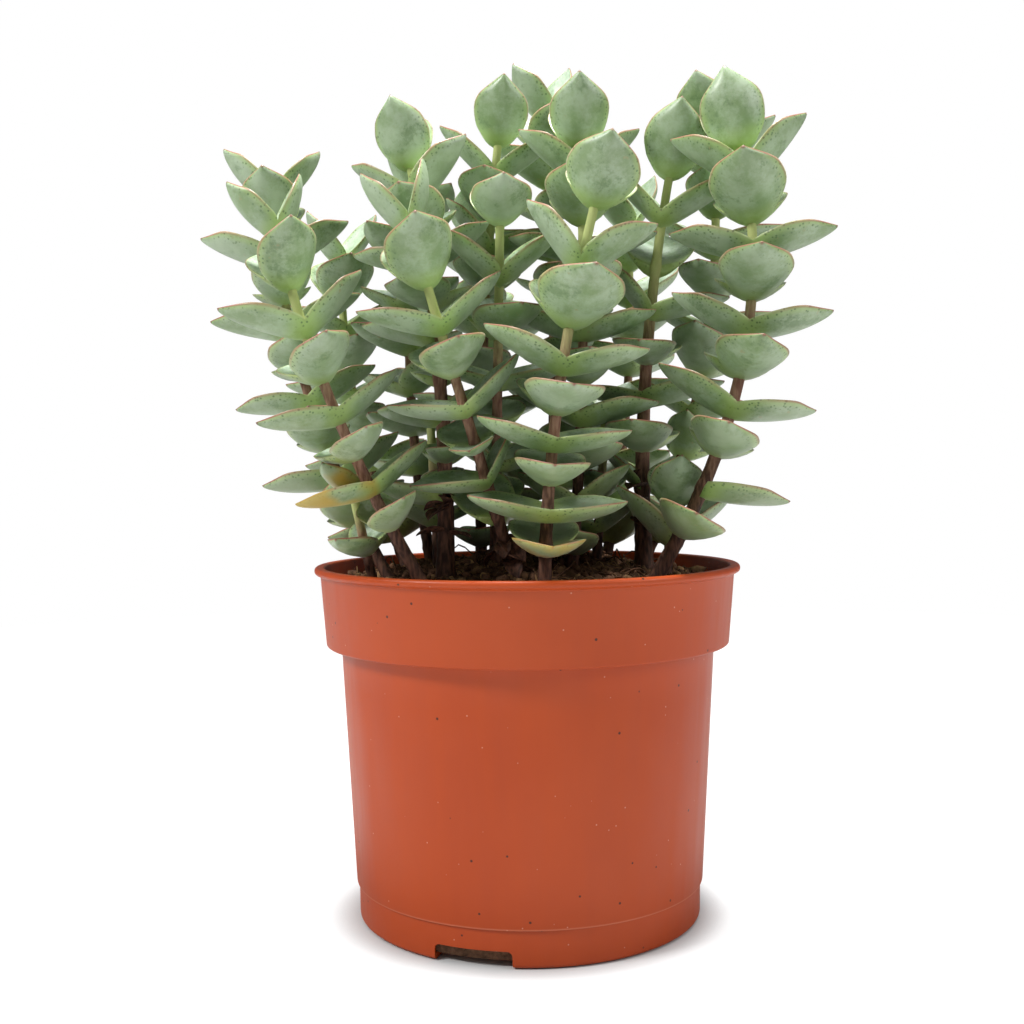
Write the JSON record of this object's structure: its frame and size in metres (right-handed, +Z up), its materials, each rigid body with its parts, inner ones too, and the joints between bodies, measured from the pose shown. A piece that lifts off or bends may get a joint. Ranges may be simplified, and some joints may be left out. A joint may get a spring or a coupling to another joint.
{
  "type": "potted string of buttons",
  "caption": "Potted string of buttons: upright woody stems with crossed pairs of thick pointed leaves, standing in compost in a round plastic nursery pot with a deep band under its lip.",
  "frame": {"origin": "middle of the pot's flat underside", "axes": "+Z up along the pot's axis, -Y towards the front of the picture, +X to its right"},
  "size_m": [0.1741, 0.1406, 0.248],
  "materials": {
    "pot": "injection-moulded polypropylene, terracotta colour, satin",
    "soil": "rough peat and coir compost",
    "leaves": "waxy grey-green leaf skin"
  },
  "bodies": {
    "root": {"pot": "pot", "soil": "soil", "stem_front_middle": "leaves", "stem_front_inner_left": "leaves", "stem_front_left": "leaves", "stem_right": "leaves", "stem_middle_left": "leaves", "stem_top_middle": "leaves", "stem_woody_left": "leaves", "stem_top_left": "leaves", "stem_woody_right": "leaves", "stem_outer_left": "leaves", "stem_top_back": "leaves", "stem_right_back": "leaves", "stem_left_middle_back": "leaves", "stem_left_back": "leaves", "stem_back": "leaves", "stem_back_right": "leaves", "shoot_right": "leaves", "shoot_left": "leaves", "shoot_middle": "leaves", "shoot_middle_left": "leaves"}
  },
  "joints": []
}
